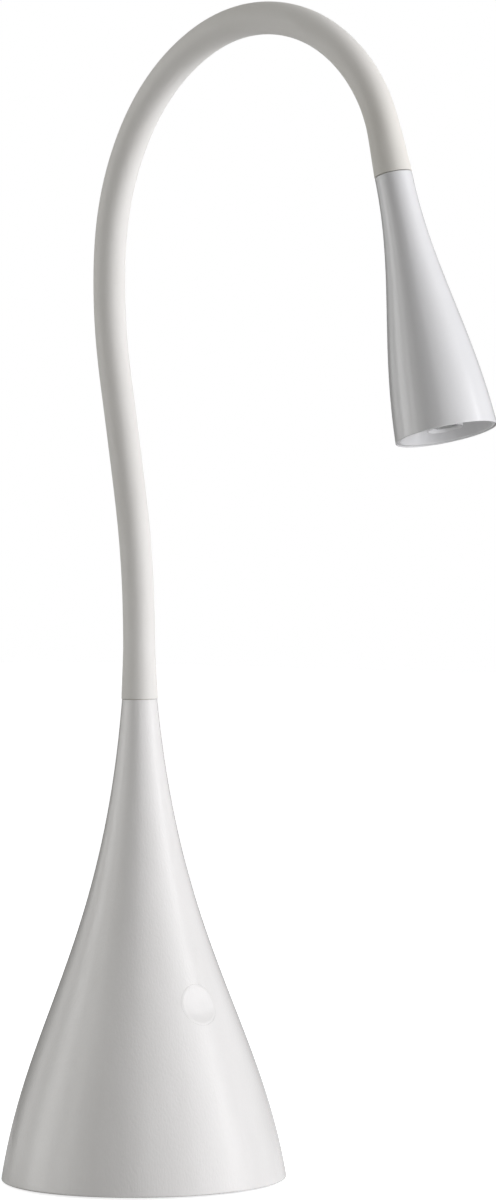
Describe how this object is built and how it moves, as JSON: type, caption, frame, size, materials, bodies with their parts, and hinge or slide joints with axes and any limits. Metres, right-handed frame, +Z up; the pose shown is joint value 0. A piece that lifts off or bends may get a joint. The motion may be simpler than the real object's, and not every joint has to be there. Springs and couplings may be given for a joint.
{
  "type": "gooseneck desk lamp",
  "caption": "Gooseneck desk lamp: weighted trumpet base with a push button, sleeved flexible neck that holds its bend, and a small trumpet head with a recessed spot lens.",
  "frame": {"origin": "on the base's axis at table level, the middle of the foot pad's underside", "axes": "+Z up along the base's axis; the neck bends in the XZ plane and the head reaches to +X"},
  "size_m": [0.2384, 0.115, 0.4689],
  "materials": {
    "base_plastic": "white moulded plastic, satin with a faint grain",
    "head_plastic": "white moulded plastic, glossy",
    "dish_plastic": "white, semi-gloss",
    "sleeve_silicone": "warm white silicone, matt",
    "rubber": "black, matt",
    "plate_steel": "zinc plated sheet",
    "ballast_iron": "raw casting, dark",
    "screw_steel": "zinc plated",
    "fitting_brass": "turned",
    "core_steel": "wound wire, oiled",
    "lead_insulation": "smooth insulation",
    "circuit_board": "green solder mask",
    "black_plastic": "black moulded",
    "clear_lens": "clear moulded optic",
    "led_phosphor": "yellow phosphor",
    "led_board_white": "metal-core board, white mask",
    "sink_aluminium": "turned"
  },
  "bodies": {
    "base": {"base_shell": "base_plastic", "foot_pad": "rubber", "base_plate": "plate_steel", "ballast": "ballast_iron", "plate_screws": "screw_steel", "ballast_screws": "screw_steel", "driver_board": "circuit_board", "driver_components": "black_plastic", "board_standoffs": "fitting_brass", "board_screws": "screw_steel", "switch_body": "black_plastic", "switch_board": "circuit_board", "switch_screws": "screw_steel", "switch_leads": "lead_insulation", "cord_gland": "rubber", "base_ferrule": "fitting_brass", "base_washer": "screw_steel", "base_nut": "screw_steel", "neck_sleeve_0": "sleeve_silicone", "neck_core_0": "core_steel", "neck_leads_0": "lead_insulation"},
    "button": {"button_cap": "base_plastic"},
    "neck_1": {"neck_sleeve_1": "sleeve_silicone", "neck_core_1": "core_steel", "neck_leads_1": "lead_insulation"},
    "neck_2": {"neck_sleeve_2": "sleeve_silicone", "neck_core_2": "core_steel", "neck_leads_2": "lead_insulation"},
    "neck_3": {"neck_sleeve_3": "sleeve_silicone", "neck_core_3": "core_steel", "neck_leads_3": "lead_insulation"},
    "neck_4": {"neck_sleeve_4": "sleeve_silicone", "neck_core_4": "core_steel", "neck_leads_4": "lead_insulation"},
    "neck_5": {"neck_sleeve_5": "sleeve_silicone", "neck_core_5": "core_steel", "neck_leads_5": "lead_insulation"},
    "neck_6": {"neck_sleeve_6": "sleeve_silicone", "neck_core_6": "core_steel", "neck_leads_6": "lead_insulation"},
    "neck_7": {"neck_sleeve_7": "sleeve_silicone", "neck_core_7": "core_steel", "neck_leads_7": "lead_insulation"},
    "head": {"neck_sleeve_8": "sleeve_silicone", "neck_core_8": "core_steel", "neck_leads_8": "lead_insulation", "head_ferrule": "fitting_brass", "head_washer": "screw_steel", "head_nut": "screw_steel", "head_shell": "head_plastic", "reflector_dish": "dish_plastic", "lens_holder": "dish_plastic", "lens": "clear_lens", "led_emitter": "led_phosphor", "led_board": "led_board_white", "led_screws": "screw_steel", "heat_sink": "sink_aluminium"}
  },
  "joints": [
    {"name": "neck_bend_1", "type": "hinge", "parent": "base", "child": "neck_1", "pos_m": [0, 0, 0.2239], "axis": [0, 1, 0], "range_deg": [-30, 30]},
    {"name": "neck_sway_2", "type": "hinge", "parent": "neck_1", "child": "neck_2", "pos_m": [-0.00386, 0, 0.2747], "axis": [0.9885, 0, 0.1513], "range_deg": [-25, 25]},
    {"name": "neck_bend_3", "type": "hinge", "parent": "neck_2", "child": "neck_3", "pos_m": [-0.01193, 0, 0.32506], "axis": [0, 1, 0], "range_deg": [-30, 30]},
    {"name": "neck_sway_4", "type": "hinge", "parent": "neck_3", "child": "neck_4", "pos_m": [-0.01402, 0, 0.37589], "axis": [0.9965, 0, -0.0837], "range_deg": [-25, 25]},
    {"name": "neck_bend_5", "type": "hinge", "parent": "neck_4", "child": "neck_5", "pos_m": [0.00205, 0, 0.42377], "axis": [0, 1, 0], "range_deg": [-30, 30]},
    {"name": "neck_sway_6", "type": "hinge", "parent": "neck_5", "child": "neck_6", "pos_m": [0.0401, 0, 0.45662], "axis": [0.4051, 0, -0.9143], "range_deg": [-25, 25]},
    {"name": "neck_bend_7", "type": "hinge", "parent": "neck_6", "child": "neck_7", "pos_m": [0.0899, 0, 0.45905], "axis": [0, 1, 0], "range_deg": [-30, 30]},
    {"name": "neck_sway_8", "type": "hinge", "parent": "neck_7", "child": "head", "pos_m": [0.12772, 0, 0.42675], "axis": [0.8886, 0, 0.4587], "range_deg": [-25, 25]},
    {"name": "button_press", "type": "slide", "parent": "base", "child": "button", "axis": [-0.9281, 0.114, -0.3545], "range_m": [0, 0.0012], "stiffness_N_per_m": 1200, "springref_m": -0.0006}
  ]
}
